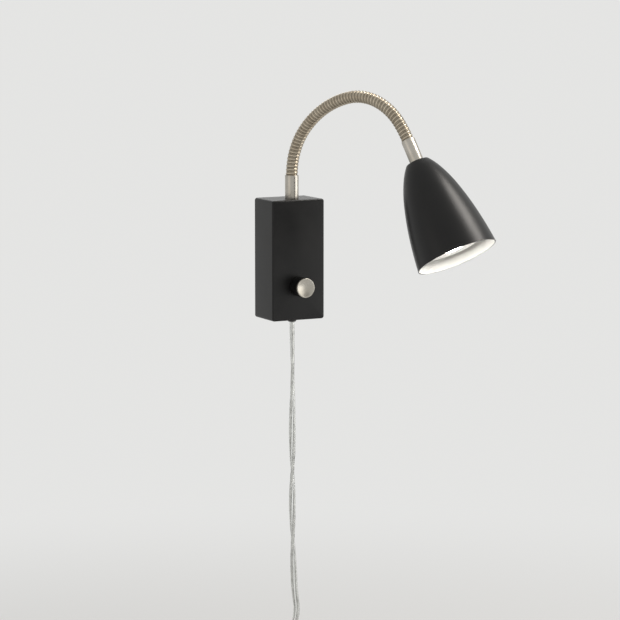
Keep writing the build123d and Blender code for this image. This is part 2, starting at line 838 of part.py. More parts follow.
def coil_turns():
    """The coil's half turns as (start, middle, end), from its top, first down its left side."""
    turns = []
    point, radius, left, down = coil_start, coil_radius, -1, -1
    for count in range(coil_half_turns_in + 1 + coil_half_turns_out):
        climbs = count == coil_half_turns_in
        shift = Vector(0, coil_far - coil_near if climbs else 0, down * 2 * radius)
        end = point + shift
        middle = (point + end) * 0.5 + Vector(left * shift.length / 2, 0, 0)
        turns.append((point, middle, end))
        radius += (-0.5 if count < coil_half_turns_in else 0.5) * coil_turn_pitch
        point, left, down = end, -left, -down
    return turns, point, radius


turns, last_top, last_radius = coil_turns()
last_side = last_top + Vector(-last_radius, 0, -last_radius)
last_middle = last_top + Vector(
    -last_radius * math.sin(math.radians(45)),
    0,
    -last_radius * (1 - math.cos(math.radians(45))),
)
coil_end = last_side - Vector(0, 0, cord_width)
climb = coil_half_turns_in
inward = [(Vector(*cord_route[-1]), coil_start), *turns[:climb]]
outward = [*turns[climb + 1 :], (last_top, last_middle, last_side), (last_side, coil_end)]


def lay_cord(stretches):
    """The centre line of straights, given by two points, and arcs, given by three."""
    with BuildLine() as laid:
        for points in stretches:
            if len(points) == 2:
                Line(*points)
            else:
                ThreePointArc(*points)
    return laid.wires()[0]


# In the half turn that climbs, the wide side keeps pointing at the same arc moved out along Y.
coil_lines = [lay_cord(stretches) for stretches in (inward, [turns[climb]], outward)]
with BuildPart() as cord_coil:
    for line in coil_lines:
        with BuildSketch(Plane(origin=line @ 0, x_dir=(0, 1, 0), z_dir=line % 0)):
            SlotOverall(cord_width, cord_thickness)
        if line is coil_lines[1]:
            sweep(path=line, binormal=line.moved(Location((0, -2 * cord_width, 0))))
        else:
            sweep(path=line)
finish(cord_coil, "cord_coil")

tail_end = coil_end - Vector(0, 0, tail_length - cord_width)
with BuildPart() as cord_tail:
    with BuildSketch(Plane(origin=coil_end, x_dir=(0, 1, 0), z_dir=(0, 0, -1))):
        SlotOverall(cord_width, cord_thickness)
    extrude(amount=tail_length - cord_width)
finish(cord_tail, "cord_tail")

# A strap round all the turns where they pass the top of the coil.
tops = [start for start, middle, end in turns if start.Z > coil_start.Z - coil_radius]
tops.append(last_top)
highest = max(point.Z for point in tops) + cord_thickness / 2 + tie_clearance
lowest = min(point.Z for point in tops) - cord_thickness / 2 - tie_clearance
nearest = coil_near + cord_width / 2 + tie_clearance
farthest = coil_far - cord_width / 2 - tie_clearance
tie_plane = Plane(
    origin=(coil_x + tie_width / 2, (nearest + farthest) / 2, (highest + lowest) / 2),
    x_dir=(0, 1, 0),
    z_dir=(-1, 0, 0),
)
with BuildPart() as cord_tie:
    with BuildSketch(tie_plane):
        RectangleRounded(
            nearest - farthest + 2 * tie_thickness,
            highest - lowest + 2 * tie_thickness,
            2 * tie_thickness,
        )
        RectangleRounded(nearest - farthest, highest - lowest, tie_thickness, mode=Mode.SUBTRACT)
    extrude(amount=tie_width)
finish(cord_tie, "cord_tie")

# ---------------------------------------------------------------- plug
plug_top = Plane(origin=tail_end, x_dir=(1, 0, 0), z_dir=(0, 0, -1))
relief_end = plug_top.offset(plug_relief_length)
shoulder_end = relief_end.offset(plug_shoulder)
with BuildPart() as plug_body:
    with BuildSketch(plug_top):
        RectangleRounded(cord_thickness + 2, cord_width + 1.6, cord_thickness / 3)
    with BuildSketch(relief_end):
        RectangleRounded(plug_thickness, plug_thickness - 3, cord_thickness)
    loft()
    with BuildSketch(relief_end):
        RectangleRounded(plug_thickness, plug_thickness - 3, cord_thickness)
    with BuildSketch(shoulder_end):
        RectangleRounded(plug_width, plug_thickness, cord_thickness)
    loft()
    with BuildSketch(shoulder_end):
        RectangleRounded(plug_width, plug_thickness, cord_thickness)
    extrude(amount=plug_body_length - plug_shoulder)
finish(plug_body, "plug_body")

pin_places = [(-plug_pin_spacing / 2, 0), (plug_pin_spacing / 2, 0)]
with BuildPart() as plug_pins:
    with BuildSketch(relief_end.offset(plug_body_length)):
        with Locations(*pin_places):
            Circle(plug_pin_radius)
    extrude(amount=plug_pin_length)
    fillet(plug_pins.faces().group_by(Axis.Z)[0].edges(), plug_pin_radius / 2)
finish(plug_pins, "plug_pins")

# ---------------------------------------------------------------- what the cord measures
section_area = cord_thickness * (cord_width - cord_thickness) + math.pi * cord_thickness**2 / 4
free_length = cord_path.wires()[0].length
wound_length = sum(line.length for line in coil_lines)
print("arcs of the free cord, mm:", [round(radius, 1) for radius in cord_radii])
print("free cord, coil and tail, mm:", round(free_length), round(wound_length), tail_length - cord_width)
print("cord from the bush to the plug, mm:", round(free_length + wound_length + tail_length - cord_width))
for piece, length in ((mains_cord, free_length), (cord_coil, wound_length)):
    print(piece.part.label, "volume over section times length:", piece.part.volume / (section_area * length))


def turn_gap(here, there):
    """The gap between two turns of the flat cord, from points on their centre lines."""
    across = max(abs(here.Y - there.Y) - (cord_width - cord_thickness), 0)
    return math.hypot(here.X - there.X, across, here.Z - there.Z) - cord_thickness


samples = [line @ (count / round(line.length)) for line in coil_lines for count in range(round(line.length))]
gaps = [
    turn_gap(samples[first], samples[second])
    for first in range(0, len(samples), 4)
    for second in range(first + 50, len(samples))
    if (samples[first] - samples[second]).length < 2 * cord_width
]
print("least gap of the coil to itself, mm:", round(min(gaps), 2))
print("neck, rib pitch and groove, mm:", round(neck_total, 1), round(rib_pitch, 2), round(groove, 2))
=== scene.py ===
import math

import bmesh
import bpy
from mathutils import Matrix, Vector


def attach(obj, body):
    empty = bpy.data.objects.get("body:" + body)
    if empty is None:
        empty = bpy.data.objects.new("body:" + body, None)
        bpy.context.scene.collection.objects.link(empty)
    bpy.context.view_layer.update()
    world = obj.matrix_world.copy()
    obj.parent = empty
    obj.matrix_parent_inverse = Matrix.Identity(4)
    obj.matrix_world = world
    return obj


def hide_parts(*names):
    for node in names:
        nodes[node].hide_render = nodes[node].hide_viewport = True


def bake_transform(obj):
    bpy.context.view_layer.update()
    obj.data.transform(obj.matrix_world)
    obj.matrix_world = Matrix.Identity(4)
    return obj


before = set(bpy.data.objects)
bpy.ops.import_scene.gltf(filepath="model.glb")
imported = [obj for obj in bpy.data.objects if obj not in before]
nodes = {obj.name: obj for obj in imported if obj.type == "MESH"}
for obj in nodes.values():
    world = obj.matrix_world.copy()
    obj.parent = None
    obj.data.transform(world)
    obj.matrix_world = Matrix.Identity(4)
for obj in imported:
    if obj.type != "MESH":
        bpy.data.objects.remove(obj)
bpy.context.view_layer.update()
scene = bpy.context.scene
scene.view_settings.view_transform = "Standard"

# ------------------------------------------------------------------ camera
# A long lens a little above the lamp's middle and to its left, as in the photograph. Its place was
# worked out from where the corners of the box stand there.
camera_azimuth = math.radians(-27.0)
camera_height = math.radians(7.78)
camera_distance = 2.6
camera_target = Vector((0.03161, 0.0, -0.05435))
back = Vector(
    (
        math.sin(camera_azimuth) * math.cos(camera_height),
        -math.cos(camera_azimuth) * math.cos(camera_height),
        math.sin(camera_height),
    )
)


def add_object(name, data):
    """A new object in the scene that holds this camera, curve, mesh or light."""
    made = bpy.data.objects.new(name, data)
    scene.collection.objects.link(made)
    return made


camera = add_object("camera", bpy.data.cameras.new("camera"))
camera.data.sensor_width = 36.0
camera.data.lens = 155.65
camera.location = camera_target + back * camera_distance
camera.rotation_mode = "QUATERNION"
camera.rotation_quaternion = (-back).to_track_quat("-Z", "Y")
scene.camera = camera

# ------------------------------------------------------------------ supply cord
# Flat two-core lead in clear PVC, the tinned strands showing through it. It drops from the bush,
# turns slowly about itself, lies in against the wall and is wound up in two layers with its plug.
cord_width = 0.0066
cord_thickness = 0.0034
cord_route = [
    (0.0, -0.0240, -0.0605),
    (0.0002, -0.0240, -0.0840),
    (0.0014, -0.0229, -0.1220),
    (0.0020, -0.0202, -0.1660),
    (0.0041, -0.0166, -0.2100),
    (0.0054, -0.0134, -0.2550),
    (0.0080, -0.0104, -0.2980),
    (0.0104, -0.0080, -0.3280),
    (0.0142, -0.0069, -0.3500),
    (0.0095, -0.0068, -0.3653),
    (-0.0016, -0.0068, -0.3768),
    (-0.0167, -0.0068, -0.3820),
    (-0.0307, -0.0068, -0.3820),
]
coil_x = cord_route[-1][0] - cord_width
coil_radius = 0.0430
coil_pitch = 0.00415
coil_layers = (-0.0068, -0.0141)
half_turns_in = 6
half_turns_out = 5
tail_length = 0.024
# The spline runs inside its points, so these stand a little outside the turns.
half_turn_points = 6
point_degrees = 180 / half_turn_points
turn_spread = 1 / math.cos(math.radians(point_degrees / 2))


def between(first, last, part):
    """The value a share of the way from one to another."""
    return first + (last - first) * part


def coil_points():
    """Points of the half turns: in towards the middle, across to the other layer, and out again."""
    points = []
    height, radius, left, down = cord_route[-1][2], coil_radius, -1, -1
    last = half_turns_in + 1 + half_turns_out
    for count in range(last + 1):
        middle = height + down * radius
        for step in range(half_turn_points // 2 if count == last else half_turn_points):
            angle = math.radians(point_degrees * (step + 0.5))
            climbed = float(count > half_turns_in)
            if count == half_turns_in:
                climbed = (1 - math.cos(angle)) / 2
            points.append(
                (
                    coil_x + left * radius * turn_spread * math.sin(angle),
                    between(coil_layers[0], coil_layers[1], climbed),
                    middle - down * radius * turn_spread * math.cos(angle),
                )
            )
        if count < last:
            height += down * 2 * radius
            radius += (-0.5 if count < half_turns_in else 0.5) * coil_pitch
            left, down = -left, -down
    for drop in (tail_length / 2, tail_length):
        points.append((coil_x + left * radius, coil_layers[1], middle - drop))
    return points


route_points = cord_route + coil_points()
route_curve = bpy.data.curves.new("cord_route", "CURVE")
route_curve.dimensions = "3D"
route_curve.resolution_u = 10
spline = route_curve.splines.new("NURBS")
spline.points.add(len(route_points) - 1)
for place, point in zip(spline.points, route_points):
    place.co = (*point, 1.0)
spline.use_endpoint_u = True
spline.order_u = 3
route_object = add_object("cord_route", route_curve)
bpy.context.view_layer.update()
route_mesh = bpy.data.meshes.new_from_object(route_object)
cord_line = [Vector(v.co) for v in route_mesh.vertices]
bpy.data.objects.remove(route_object)
bpy.data.meshes.remove(route_mesh)


def link_mesh(name, vertices, faces, sharp=35.0):
    """A new object from vertices and faces, smooth except at edges sharper than an angle."""
    mesh = bpy.data.meshes.new(name)
    mesh.from_pydata([tuple(v) for v in vertices], [], faces)
    made = bmesh.new()
    made.from_mesh(mesh)
    bmesh.ops.recalc_face_normals(made, faces=made.faces)
    made.to_mesh(mesh)
    made.free()
    mesh.shade_smooth()
    mesh.set_sharp_from_angle(angle=math.radians(sharp))
    return add_object(name, mesh)


def ring_faces(rows, around, first=0):
    """Quads between rows of points, with the two ends filled."""
    faces = []
    for row in range(rows - 1):
        for side in range(around):
            a = first + row * around + side
            b = first + row * around + (side + 1) % around
            faces.append((a, b, b + around, a + around))
    faces.append(tuple(first + side for side in reversed(range(around))))
    faces.append(tuple(first + (rows - 1) * around + side for side in range(around)))
    return faces


# Distances along the cord, and the way its wide side faces: along Y at the bush and in the coil,
# with three slow half twists between them.
cord_reach = [0.0]
for before, after in zip(cord_line, cord_line[1:]):
    cord_reach.append(cord_reach[-1] + (after - before).length)
twist_start = 0.012
twist_end = 0.330
twist_ease = 0.3
half_twists = 3
off_wall = Vector((0, -1, 0))
cord_frames = []
for index, point in enumerate(cord_line):
    ahead = cord_line[min(index + 1, len(cord_line) - 1)]
    behind = cord_line[max(index - 1, 0)]
    along = (ahead - behind).normalized()
    wide = (off_wall - along * along.dot(off_wall)).normalized()
    thin = along.cross(wide)
    part = min(max((cord_reach[index] - twist_start) / (twist_end - twist_start), 0), 1)
    turn = math.pi * half_twists * (part - twist_ease * math.sin(2 * math.pi * part) / math.pi)
    cord_frames.append(
        (
            wide * math.cos(turn) + thin * math.sin(turn),
            thin * math.cos(turn) - wide * math.sin(turn),
        )
    )


def twin_section(around=28, waist=0.12):
    """The flat lead's outline: two round halves with a shallow groove where they join."""
    lobe = cord_thickness / 2
    offset = cord_width / 2 - lobe
    outline = []
    for step in range(around):
        angle = 2 * math.pi * step / around
        across = cord_width / 2 * math.cos(angle)
        beyond = abs(across) - offset
        if beyond > 0:
            height = math.sqrt(max(lobe**2 - beyond**2, 0))
        else:
            height = lobe * (1 - waist * math.cos(math.pi / 2 * across / offset) ** 2)
        on_edge = step % (around // 2) == 0
        outline.append((across, 0 if on_edge else math.copysign(height, math.sin(angle))))
    return outline


outline = twin_section()
vertices = [
    point + wide * across + thin * height
    for point, (wide, thin) in zip(cord_line, cord_frames)
    for across, height in outline
]
supply_cord = link_mesh("supply_cord", vertices, ring_faces(len(cord_line), len(outline)), sharp=60)

# Each core is seven tinned strands' worth of twist inside its half of the lead.
strand_radius = 0.00082
strand_relief = 0.00007
strand_count = 7
strand_around = 28
strand_lay = 0.014
vertices = []
faces = []
for side in (-1, 1):
    first = len(vertices)
    for point, (wide, thin), reach in zip(cord_line, cord_frames, cord_reach):
        centre = point + wide * side * (cord_width - cord_thickness) / 2
        for step in range(strand_around):
            angle = 2 * math.pi * step / strand_around
            lobes = abs(math.cos(strand_count / 2 * (angle + 2 * math.pi * reach / strand_lay)))
            radius = strand_radius + strand_relief * (lobes - 1)
            vertices.append(centre + (wide * math.cos(angle) + thin * math.sin(angle)) * radius)
    faces += ring_faces(len(cord_line), strand_around, first)
cord_strands = link_mesh("cord_strands", vertices, faces, sharp=60)


def new_material(name, colour, metallic=0.0, roughness=0.5, **sockets):
    """A material whose surface shader has these plain values."""
    material = bpy.data.materials.new(name)
    material.use_nodes = True
    surface = material.node_tree.nodes["Principled BSDF"]
    surface.inputs["Base Color"].default_value = (*colour, 1.0)
    surface.inputs["Metallic"].default_value = metallic
    surface.inputs["Roughness"].default_value = roughness
    for socket, value in sockets.items():
        surface.inputs[socket.replace("_", " ")].default_value = value
    return material


def add_node(tree, kind, inputs=(), **settings):
    """A node with its settings, and each input set to a value or linked to another node's output."""
    node = tree.nodes.new(kind)
    for name, value in settings.items():
        setattr(node, name, value)
    for socket, value in dict(inputs).items():
        if isinstance(value, bpy.types.NodeSocket):
            tree.links.new(value, node.inputs[socket])
        else:
            node.inputs[socket].default_value = value
    return node


def new_group(name, kind, inputs, outputs):
    """An empty node group with these sockets, and the ends that they have inside it."""
    group = bpy.data.node_groups.new(name, kind)
    for in_out, sockets in (("INPUT", inputs), ("OUTPUT", outputs)):
        for socket, values in sockets.items():
            group.interface.new_socket(socket, in_out=in_out, socket_type=f"NodeSocket{values}")
    given = group.nodes.new("NodeGroupInput").outputs
    result = group.nodes.new("NodeGroupOutput").inputs
    return group, given, result


def fine_surface_group():
    """Colour, roughness and height that vary at two scales over a surface, as handling leaves them."""
    group, given, result = new_group(
        "fine_surface",
        "ShaderNodeTree",
        {
            "Colour": "Color",
            "Worn Colour": "Color",
            "Broad Scale": "Float",
            "Fine Scale": "Float",
            "Stretch": "Vector",
            "Smooth": "Float",
            "Rough": "Float",
        },
        {"Colour": "Color", "Roughness": "Float", "Height": "Float"},
    )

    def add(kind, inputs=(), **settings):
        return add_node(group, kind, inputs, **settings).outputs

    place = add("ShaderNodeTexCoord")["Object"]
    broad = add(
        "ShaderNodeTexNoise", {"Vector": place, "Scale": given["Broad Scale"], "Detail": 3.0}
    )
    stretched = add("ShaderNodeVectorMath", {0: place, 1: given["Stretch"]}, operation="MULTIPLY")
    fine = add(
        "ShaderNodeTexNoise", {"Vector": stretched[0], "Scale": given["Fine Scale"], "Detail": 2.0}
    )
    patch = add("ShaderNodeMapRange", {"Value": broad["Fac"], "From Min": 0.35, "From Max": 0.7})
    colour = add(
        "ShaderNodeMix",
        {"Factor": patch["Result"], "A": given["Colour"], "B": given["Worn Colour"]},
        data_type="RGBA",
    )
    half = add("ShaderNodeMath", {0: patch["Result"], 1: 0.5}, operation="MULTIPLY")
    both = add("ShaderNodeMath", {0: fine["Fac"], 1: 0.5, 2: half[0]}, operation="MULTIPLY_ADD")
    gloss = add(
        "ShaderNodeMapRange",
        {"Value": both[0], "To Min": given["Smooth"], "To Max": given["Rough"]},
    )
    group.links.new(colour["Result"], result["Colour"])
    group.links.new(gloss["Result"], result["Roughness"])
    group.links.new(fine["Fac"], result["Height"])
    return group


fine_surface = fine_surface_group()


def add_fine_surface(
    material,
    colour,
    worn_colour,
    broad=60.0,
    fine=1500.0,
    stretch=(1, 1, 1),
    smooth=0.3,
    rough=0.45,
    relief=0.00002,
):
    """Feeds a material's shader from the shared group, with a bump of a real height in metres."""
    tree = material.node_tree
    surface = tree.nodes["Principled BSDF"].inputs
    values = {
        "Colour": (*colour, 1),
        "Worn Colour": (*worn_colour, 1),
        "Broad Scale": broad,
        "Fine Scale": fine,
        "Stretch": stretch,
        "Smooth": smooth,
        "Rough": rough,
    }
    varied = add_node(tree, "ShaderNodeGroup", values, node_tree=fine_surface).outputs
    bump = add_node(
        tree, "ShaderNodeBump", {"Strength": 0.6, "Distance": relief, "Height": varied["Height"]}
    )
    tree.links.new(varied["Colour"], surface["Base Color"])
    tree.links.new(varied["Roughness"], surface["Roughness"])
    tree.links.new(bump.outputs["Normal"], surface["Normal"])


clear_pvc = new_material(
    "clear_pvc", (0.93, 0.94, 0.92), roughness=0.16, Transmission_Weight=1.0, IOR=1.5
)
add_fine_surface(
    clear_pvc,
    (0.93, 0.94, 0.92),
    (0.86, 0.87, 0.84),
    broad=90.0,
    fine=900.0,
    smooth=0.1,
    rough=0.24,
    relief=0.00003,
)
tinned_strand = new_material("tinned_strand", (0.74, 0.74, 0.73), metallic=1.0, roughness=0.3)
add_fine_surface(
    tinned_strand,
    (0.76, 0.76, 0.75),
    (0.55, 0.55, 0.54),
    broad=140.0,
    fine=2500.0,
    smooth=0.22,
    rough=0.42,
)
supply_cord.data.materials.append(clear_pvc)
cord_strands.data.materials.append(tinned_strand)
for piece in (supply_cord, cord_strands):
    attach(piece, "base")
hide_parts("mains_cord", "cord_coil", "cord_tail")

# ------------------------------------------------------------------ plug and tie
# Flat two-pin plug: a clear moulding over the end of the lead, with a ribbed relief, round a white
# carrier that holds two plated pins in short sleeves. A strap holds the wound lead together.
plug_top = Vector(route_points[-1])
plug_down = Vector((0, 0, -1))
plug_length = 0.054
plug_half_width = 0.0174
plug_half_depth = 0.0068
plug_end_round = 0.0012
plug_end_rows = 8
shoulder_length = 0.015
shoulder_rows = 16
relief_length = 0.018
relief_rows = 60
relief_top = (0.0027, 0.0041)
relief_foot = (0.0062, 0.0053)
relief_flare = 1.6
relief_ribs = 6
ribbed_part = 0.97
rib_depth = 0.0005


def flat_loft(name, sections, squareness=3.4, around=56):
    """A closed form down from the plug's top through sections of (distance, half width, half depth)."""
    vertices = []
    for distance, half_width, half_depth in sections:
        centre = plug_top + plug_down * distance
        for step in range(around):
            angle = 2 * math.pi * step / around
            across = math.copysign(abs(math.cos(angle)) ** (2 / squareness), math.cos(angle))
            deep = math.copysign(abs(math.sin(angle)) ** (2 / squareness), math.sin(angle))
            vertices.append(centre + Vector((across * half_width, deep * half_depth, 0)))
    return link_mesh(name, vertices, ring_faces(len(sections), around), sharp=50)


def eased(part):
    """A share from 0 to 1 that starts and ends gently."""
    return part * part * (3 - 2 * part)


sections = []
for step in range(relief_rows + 1):
    part = step / relief_rows
    rib = 0.5 - 0.5 * math.cos(2 * math.pi * relief_ribs * part) if part < ribbed_part else 0.0
    sections.append(
        (
            relief_length * part,
            between(relief_top[0], relief_foot[0], part**relief_flare) - rib_depth * rib,
            between(relief_top[1], relief_foot[1], part) - rib_depth * rib,
        )
    )
for step in range(1, shoulder_rows + 1):
    part = eased(step / shoulder_rows)
    sections.append(
        (
            relief_length + shoulder_length * step / shoulder_rows,
            between(relief_foot[0], plug_half_width, part),
            between(relief_foot[1], plug_half_depth, part),
        )
    )
for step in range(plug_end_rows + 1):
    turn = math.pi / 2 * step / plug_end_rows
    inset = plug_end_round * (1 - math.cos(turn))
    sections.append(
        (
            plug_length - plug_end_round + plug_end_round * math.sin(turn),
            plug_half_width - inset,
            plug_half_depth - inset,
        )
    )
plug_moulding = flat_loft("plug_moulding", sections)
carrier_top, carrier_end = plug_length - 0.0170, plug_length - 0.0006
carrier_sections = [
    (carrier_top, 0.0110, 0.0036),
    (carrier_top + 0.0006, 0.0117, 0.0042),
    (carrier_end, 0.0121, 0.0044),
]
plug_carrier = flat_loft("plug_carrier", carrier_sections, squareness=5.0, around=48)


def lathe(name, profile, place, axis, side, around=96):
    """A turned form: a closed outline of (radius, distance) carried round an axis."""
    axis = Vector(axis).normalized()
    side = Vector(side).normalized()
    other = axis.cross(side)
    vertices = []
    faces = []
    rings = []
    for radius, distance in profile:
        centre = Vector(place) + axis * distance
        if radius < 1e-7:
            rings.append((len(vertices), 1))
            vertices.append(centre)
            continue
        rings.append((len(vertices), around))
        for step in range(around):
            angle = 2 * math.pi * step / around
            vertices.append(centre + (side * math.cos(angle) + other * math.sin(angle)) * radius)
    for (a, a_count), (b, b_count) in zip(rings, rings[1:] + rings[:1]):
        if a_count == 1 and b_count == 1:
            continue
        for step in range(around):
            following = (step + 1) % around
            if a_count == 1:
                faces.append((a, b + following, b + step))
            elif b_count == 1:
                faces.append((a + step, a + following, b))
            else:
                faces.append((a + step, a + following, b + following, b + step))
    return link_mesh(name, vertices, faces)


def rounded(points, radii, steps=5):
    """An outline with each corner that has a radius turned into a short arc."""
    result = []
    count = len(points)
    for index, (point, bend) in enumerate(zip(points, radii)):
        if not bend:
            result.append(point)
            continue
        here = Vector(point)
        before = (Vector(points[index - 1]) - here).normalized()
        after = (Vector(points[(index + 1) % count]) - here).normalized()
        reach = bend / math.tan(before.angle(after) / 2)
        start, end = here + before * reach, here + after * reach
        for step in range(steps + 1):
            part = step / steps
            mixed = start * (1 - part) ** 2 + here * 2 * part * (1 - part) + end * part**2
            result.append((mixed.x, mixed.y))
    return result


def fit(piece, node, body, material):
    """Puts a finished piece on its body, in its material, in place of a node."""
    piece.data.materials.append(material)
    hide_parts(node)
    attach(piece, body)


pin_spacing = 0.0186
pin_radius = 0.002
pin_start = carrier_end - 0.004
pin_end = plug_length + 0.019
pin_tip_round = 0.0012
sleeve_start = plug_length - 0.0004
sleeve_end = plug_length + 0.010
sleeve_wall = 0.0002
sleeve_edge_round = 0.0001
pin_outline = rounded(
    [
        (0.0, pin_start),
        (pin_radius - sleeve_wall, pin_start),
        (pin_radius - sleeve_wall, pin_end),
        (0.0, pin_end),
    ],
    radii=[0, 0, pin_tip_round, 0],
)
sleeve_outline = rounded(
    [
        (pin_radius - sleeve_wall, sleeve_start),
        (pin_radius, sleeve_start),
        (pin_radius, sleeve_end),
        (pin_radius - sleeve_wall, sleeve_end),
    ],
    radii=[0, 0, sleeve_edge_round, 0],
)
clear_moulding = new_material(
    "clear_moulding", (0.94, 0.95, 0.93), roughness=0.2, Transmission_Weight=0.92, IOR=1.45
)
add_fine_surface(
    clear_moulding,
    (0.94, 0.95, 0.93),
    (0.9, 0.91, 0.89),
    broad=30.0,
    fine=500.0,
    smooth=0.12,
    rough=0.2,
    relief=0.00001,
)
nickel = new_material("bright_nickel", (0.72, 0.7, 0.66), metallic=1.0, roughness=0.2)
add_fine_surface(
    nickel, (0.74, 0.72, 0.68), (0.6, 0.58, 0.54), fine=1800.0, smooth=0.12, rough=0.28
)
black_moulding = new_material("black_moulding", (0.02, 0.02, 0.02))
add_fine_surface(
    black_moulding, (0.018, 0.018, 0.019), (0.035, 0.035, 0.035), fine=900.0, smooth=0.4, rough=0.6
)
white_moulding = new_material("white_moulding", (0.8, 0.79, 0.76), roughness=0.4)
add_fine_surface(
    white_moulding, (0.8, 0.79, 0.76), (0.7, 0.68, 0.63), fine=900.0, smooth=0.35, rough=0.5
)
plug_pieces = [
    (plug_moulding, "plug_body", "clear_plastic", clear_moulding),
    (plug_carrier, "plug_body", "white_plastic", white_moulding),
]
for side, word in ((-1, "left"), (1, "right")):
    place = plug_top + Vector((side * pin_spacing / 2, 0, 0))
    pin = lathe(f"plug_pin_{word}", pin_outline, place, plug_down, (1, 0, 0), around=40)
    sleeve = lathe(f"plug_sleeve_{word}", sleeve_outline, place, plug_down, (1, 0, 0), around=40)
    plug_pieces.append((pin, "plug_pins", "nickel_pins", nickel))
    plug_pieces.append((sleeve, "plug_pins", "white_plastic", white_moulding))
for piece, node, slot, material in plug_pieces:
    fit(piece, node, "base", material)


def dress(node, material):
    """Gives a node that keeps its own shape a better material."""
    nodes[node].data.materials.clear()
    nodes[node].data.materials.append(material)


dress("cord_tie", black_moulding)

# ------------------------------------------------------------------ box on the wall
# Folded and welded steel box, powder coated in satin black, hung over its plate and locked by two
# screws from below.
satin_black = new_material(
    "satin_black", (0.006, 0.006, 0.006), roughness=0.36, Specular_IOR_Level=0.3
)
add_fine_surface(
    satin_black,
    (0.0045, 0.0045, 0.0046),
    (0.0085, 0.0083, 0.0082),
    broad=35.0,
    fine=2200.0,
    rough=0.41,
)


def cad_copy(name, node, body, material, sharp=30.0):
    """A joined and smoothed copy of a node's mesh, in a new material, in place of the node."""
    mesh = nodes[node].data.copy()
    made = bmesh.new()
    made.from_mesh(mesh)
    bmesh.ops.remove_doubles(made, verts=made.verts, dist=0.000002)
    made.to_mesh(mesh)
    made.free()
    mesh.shade_smooth()
    mesh.set_sharp_from_angle(angle=math.radians(sharp))
    mesh.materials.clear()
    piece = add_object(name, mesh)
    fit(piece, node, body, material)
    return piece


cad_copy("cover_shell", "base_cover", "base", satin_black)

# ------------------------------------------------------------------ plate and fixings
# Zinc-plated mounting plate, and the screws, nuts, washers and bracket that hold cord, ferrules and
# lampholder. The dimmer's bush and the terminal screws are brass. The two blackened screws that lock
# the box from below have a cross recess in a rounded head.
zinc = new_material("zinc_plate", (0.6, 0.61, 0.62), metallic=1.0, roughness=0.35)
add_fine_surface(
    zinc,
    (0.62, 0.63, 0.64),
    (0.45, 0.46, 0.48),
    broad=45.0,
    fine=700.0,
    stretch=(1, 1, 0.1),
    smooth=0.28,
    rough=0.5,
)
blackened = new_material("blackened_steel", (0.05, 0.05, 0.05), metallic=1.0, roughness=0.4)
add_fine_surface(blackened, (0.05, 0.05, 0.052), (0.12, 0.12, 0.12), broad=200.0, rough=0.5)
turned_brass = new_material("turned_brass", (0.72, 0.55, 0.25), metallic=1.0, roughness=0.3)
add_fine_surface(
    turned_brass, (0.74, 0.56, 0.27), (0.5, 0.36, 0.16), broad=150.0, smooth=0.2, rough=0.4
)

for node in (
    "wall_plate",
    "dimmer_nut",
    "dimmer_shaft",
    "cord_clamp_screws",
    "base_ferrule_washer",
    "base_ferrule_nut",
    "head_ferrule_washer",
    "head_ferrule_nut",
    "lampholder_bracket",
    "bracket_screws",
):
    dress(node, zinc)
for node in ("dimmer_bush", "terminal_screws"):
    dress(node, turned_brass)


def end_in_metal(tree, geometry, metal, end):
    """Ends a geometry node tree: what it placed made real, and given its material."""
    realized = add_node(tree, "GeometryNodeRealizeInstances", {"Geometry": geometry}).outputs
    painted = add_node(
        tree, "GeometryNodeSetMaterial", {"Geometry": realized["Geometry"], "Material": metal}
    )
    tree.links.new(painted.outputs["Geometry"], end)


def screw_set_tree():
    """A screw with a cross recess on each seat, each turned as far as it went when it was driven."""
    tree, given, result = new_group(
        "screw_set",
        "GeometryNodeTree",
        {
            "Seats": "Geometry",
            "Screw": "Object",
            "Head Height": "Float",
            "Recess Length": "Float",
            "Recess Width": "Float",
            "Recess Depth": "Float",
            "Metal": "Material",
        },
        {"Screws": "Geometry"},
    )

    def add(kind, inputs=(), **settings):
        return add_node(tree, kind, inputs, **settings).outputs

    blank = add("GeometryNodeObjectInfo", {"Object": given["Screw"]})
    deep = add("ShaderNodeMath", {0: given["Recess Depth"], 1: 2.0}, operation="MULTIPLY")
    down = add("ShaderNodeMath", {0: given["Head Height"], 1: -1.0}, operation="MULTIPLY")
    head_top = add("ShaderNodeCombineXYZ", {"Z": down[0]})
    cut = add_node(
        tree,
        "GeometryNodeMeshBoolean",
        {"Mesh 1": blank["Geometry"], "Self Intersection": True},
        operation="DIFFERENCE",
        solver="EXACT",
    )
    for first, second in (("Recess Length", "Recess Width"), ("Recess Width", "Recess Length")):
        size = add("ShaderNodeCombineXYZ", {"X": given[first], "Y": given[second], "Z": deep[0]})
        bar = add("GeometryNodeMeshCube", {"Size": size[0]})
        placed = add(
            "GeometryNodeTransform", {"Geometry": bar["Mesh"], "Translation": head_top[0]}
        )
        tree.links.new(placed["Geometry"], cut.inputs["Mesh 2"])
    driven = add("FunctionNodeRandomValue", {3: math.pi / 2, "Seed": 4}, data_type="FLOAT")
    turned = add("ShaderNodeCombineXYZ", {"Z": driven[1]})
    seated = add(
        "GeometryNodeInstanceOnPoints",
        {"Points": given["Seats"], "Instance": cut.outputs["Mesh"], "Rotation": turned[0]},
    )
    end_in_metal(tree, seated["Instances"], given["Metal"], result["Screws"])
    return tree


